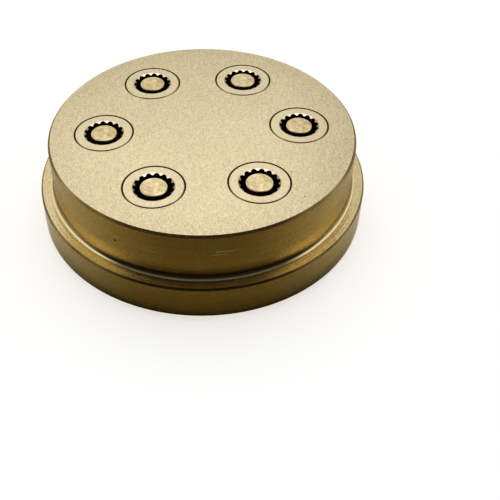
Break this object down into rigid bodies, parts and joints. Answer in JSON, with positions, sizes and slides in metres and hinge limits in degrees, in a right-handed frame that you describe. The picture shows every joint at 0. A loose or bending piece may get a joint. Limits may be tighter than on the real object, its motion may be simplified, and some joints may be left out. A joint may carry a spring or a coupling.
{
  "type": "pasta extrusion die",
  "caption": "Round brass die with a clamping flange, pressed-in ribbed inserts and core pins on winged crowns, which forms dough into hollow ridged pasta tubes.",
  "frame": {"origin": "centre of the inlet face, on which the die rests", "axes": "+Z along the die's axis, from the inlet face to the outlet face"},
  "size_m": [0.0782, 0.0782, 0.0225],
  "materials": {
    "body_brass": "fine turned and sanded",
    "insert_brass": "fine sanded",
    "pin_brass": "fine turned"
  },
  "bodies": {
    "root": {"die_body": "body_brass", "insert_1": "insert_brass", "insert_2": "insert_brass", "insert_3": "insert_brass", "insert_4": "insert_brass", "insert_5": "insert_brass", "insert_6": "insert_brass", "core_pin_1": "pin_brass", "core_pin_2": "pin_brass", "core_pin_3": "pin_brass", "core_pin_4": "pin_brass", "core_pin_5": "pin_brass", "core_pin_6": "pin_brass"}
  },
  "joints": []
}
